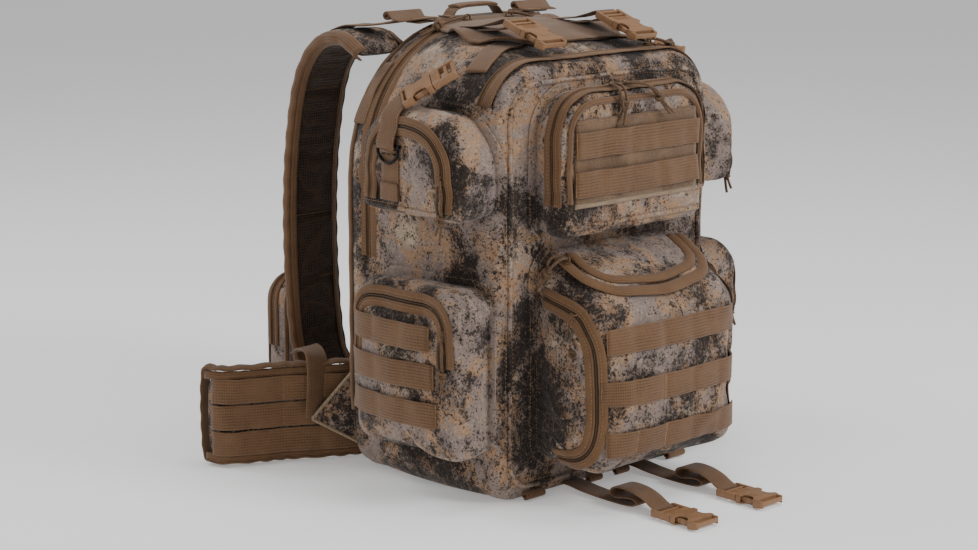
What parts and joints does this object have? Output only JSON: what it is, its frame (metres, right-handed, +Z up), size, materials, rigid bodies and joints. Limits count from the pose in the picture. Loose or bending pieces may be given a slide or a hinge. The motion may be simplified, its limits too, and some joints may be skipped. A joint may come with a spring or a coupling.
{
  "type": "hunting backpack",
  "caption": "Zipped hunting pack with pockets and pouches on its front and sides, webbing rows, shoulder straps, hip belt wings and side-release buckles",
  "frame": {"origin": "the middle of the pack's flat base, where it stands on the ground", "axes": "+Z is up, -Y is the front of the pack with the two front pockets, +Y is the wearer's side with the shoulder straps, and +X is to the right as seen from the front"},
  "size_m": [0.5474, 0.562, 0.4734],
  "materials": {
    "camo_cloth": "matte",
    "webbing": "matte",
    "zip_tape": "matte",
    "spacer_mesh": "matte",
    "pull_cord": "matte",
    "buckle_plastic": "satin",
    "stiffener_plastic": "matte",
    "slider_metal": "satin",
    "ring_steel": "satin",
    "stay_aluminium": "satin"
  },
  "bodies": {
    "pack": {"front_compartment": "camo_cloth", "main_compartment": "camo_cloth", "rear_compartment": "camo_cloth", "main_zip": "zip_tape", "front_zip": "zip_tape", "frame_sheet": "stiffener_plastic", "frame_stays": "stay_aluminium", "back_pads": "spacer_mesh", "upper_pocket": "camo_cloth", "pocket_field": "webbing", "lower_pouch": "camo_cloth", "pouch_top": "camo_cloth", "webbing_rows": "webbing", "strap_pouch": "camo_cloth", "strap_gussets": "webbing", "yoke": "webbing", "top_flap": "webbing", "buckle_fixed_halves": "buckle_plastic", "low_lash_webbing": "webbing", "top_webbing": "webbing", "side_pouch_left": "camo_cloth", "side_pocket_left": "camo_cloth", "shoulder_strap_left": "camo_cloth", "side_pouch_right": "camo_cloth", "side_pocket_right": "camo_cloth", "shoulder_strap_right": "camo_cloth"},
    "lid": {"pouch_lid": "camo_cloth"},
    "handle": {"grab_handle": "webbing"},
    "belt_left": {"belt_wing_left": "camo_cloth"},
    "ring_left": {"d_ring_left": "ring_steel"},
    "top_buckle_left": {"top_buckle_female_left": "buckle_plastic"},
    "low_buckle_left": {"low_buckle_female_left": "buckle_plastic"},
    "side_buckle_left": {"side_buckle_male_left": "buckle_plastic"},
    "belt_right": {"belt_wing_right": "camo_cloth"},
    "ring_right": {"d_ring_right": "ring_steel"},
    "top_buckle_right": {"top_buckle_female_right": "buckle_plastic"},
    "low_buckle_right": {"low_buckle_female_right": "buckle_plastic"},
    "side_buckle_right": {"side_buckle_male_right": "buckle_plastic"},
    "zip_main_left": {"slider_main_left": "slider_metal", "cord_main_left": "pull_cord"},
    "zip_main_right": {"slider_main_right": "slider_metal", "cord_main_right": "pull_cord"},
    "zip_front": {"slider_front": "slider_metal", "cord_front": "pull_cord"},
    "zip_pocket_left": {"slider_pocket_left": "slider_metal", "cord_pocket_left": "pull_cord"},
    "zip_pocket_right": {"slider_pocket_right": "slider_metal", "cord_pocket_right": "pull_cord"},
    "zip_lid": {"slider_lid": "slider_metal", "cord_lid": "pull_cord"},
    "zip_pouch_side": {"slider_pouch_side": "slider_metal", "cord_pouch_side": "pull_cord"},
    "zip_side_pouch_left": {"slider_side_pouch_left": "slider_metal", "cord_side_pouch_left": "pull_cord"},
    "zip_side_pouch_right": {"slider_side_pouch_right": "slider_metal", "cord_side_pouch_right": "pull_cord"},
    "zip_side_pocket_left": {"slider_side_pocket_left": "slider_metal", "cord_side_pocket_left": "pull_cord"},
    "zip_side_pocket_right": {"slider_side_pocket_right": "slider_metal", "cord_side_pocket_right": "pull_cord"}
  },
  "joints": [
    {"name": "lid_hinge", "type": "hinge", "parent": "pack", "child": "lid", "pos_m": [0, -0.11103, 0.24813], "axis": [-1, 0, 0], "range_deg": [0, 50]},
    {"name": "handle_hinge", "type": "hinge", "parent": "pack", "child": "handle", "pos_m": [0, 0.112, 0.4624], "axis": [-1, 0, 0], "range_deg": [0, 60]},
    {"name": "belt_hinge_left", "type": "hinge", "parent": "pack", "child": "belt_left", "pos_m": [-0.112, 0.134, 0.05], "axis": [0, 0, -1], "range_deg": [0, 20]},
    {"name": "ring_swing_left", "type": "hinge", "parent": "pack", "child": "ring_left", "pos_m": [-0.206, 0.002, 0.356], "axis": [0, 1, 0], "range_deg": [0, 90]},
    {"name": "top_buckle_release_left", "type": "slide", "parent": "pack", "child": "top_buckle_left", "axis": [0, -0.9404, -0.3401], "range_m": [0, 0.023]},
    {"name": "low_buckle_release_left", "type": "slide", "parent": "pack", "child": "low_buckle_left", "axis": [0, -1, 0], "range_m": [0, 0.023]},
    {"name": "side_buckle_release_left", "type": "slide", "parent": "pack", "child": "side_buckle_left", "axis": [0.5997, -0.5997, 0.5298], "range_m": [0, 0.023]},
    {"name": "belt_hinge_right", "type": "hinge", "parent": "pack", "child": "belt_right", "pos_m": [0.112, 0.134, 0.05], "axis": [0, 0, 1], "range_deg": [0, 20]},
    {"name": "ring_swing_right", "type": "hinge", "parent": "pack", "child": "ring_right", "pos_m": [0.206, 0.002, 0.356], "axis": [0, -1, 0], "range_deg": [0, 90]},
    {"name": "top_buckle_release_right", "type": "slide", "parent": "pack", "child": "top_buckle_right", "axis": [0, -0.9404, -0.3401], "range_m": [0, 0.023]},
    {"name": "low_buckle_release_right", "type": "slide", "parent": "pack", "child": "low_buckle_right", "axis": [0, -1, 0], "range_m": [0, 0.023]},
    {"name": "side_buckle_release_right", "type": "slide", "parent": "pack", "child": "side_buckle_right", "axis": [-0.5997, -0.5997, 0.5298], "range_m": [0, 0.023]},
    {"name": "zip_main_left_run", "type": "hinge", "parent": "pack", "child": "zip_main_left", "pos_m": [-0.02983, 0.08, 0.32082], "axis": [0, -1, 0], "range_deg": [0, 60]},
    {"name": "zip_main_right_run", "type": "hinge", "parent": "pack", "child": "zip_main_right", "pos_m": [0.02983, 0.08, 0.32082], "axis": [0, 1, 0], "range_deg": [0, 60]},
    {"name": "zip_front_run", "type": "hinge", "parent": "pack", "child": "zip_front", "pos_m": [0.08837, -0.066, 0.37019], "axis": [0, 1, 0], "range_deg": [0, 30]},
    {"name": "zip_pocket_left_run", "type": "slide", "parent": "pack", "child": "zip_pocket_left", "axis": [-1, 0, 0], "range_m": [0, 0.028]},
    {"name": "zip_pocket_right_run", "type": "slide", "parent": "pack", "child": "zip_pocket_right", "axis": [1, 0, 0], "range_m": [0, 0.05]},
    {"name": "zip_lid_run", "type": "slide", "parent": "pack", "child": "zip_lid", "axis": [0, -0.8862, -0.4633], "range_m": [0, 0.02]},
    {"name": "zip_pouch_side_run", "type": "slide", "parent": "pack", "child": "zip_pouch_side", "axis": [0, -1, 0], "range_m": [0, 0.014]},
    {"name": "zip_side_pouch_left_run", "type": "slide", "parent": "pack", "child": "zip_side_pouch_left", "axis": [0, 0, 1], "range_m": [0, 0.018]},
    {"name": "zip_side_pouch_right_run", "type": "slide", "parent": "pack", "child": "zip_side_pouch_right", "axis": [0, 0, 1], "range_m": [0, 0.018]},
    {"name": "zip_side_pocket_left_run", "type": "slide", "parent": "pack", "child": "zip_side_pocket_left", "axis": [0, 0, 1], "range_m": [0, 0.018]},
    {"name": "zip_side_pocket_right_run", "type": "slide", "parent": "pack", "child": "zip_side_pocket_right", "axis": [0, 0, 1], "range_m": [0, 0.018]}
  ]
}
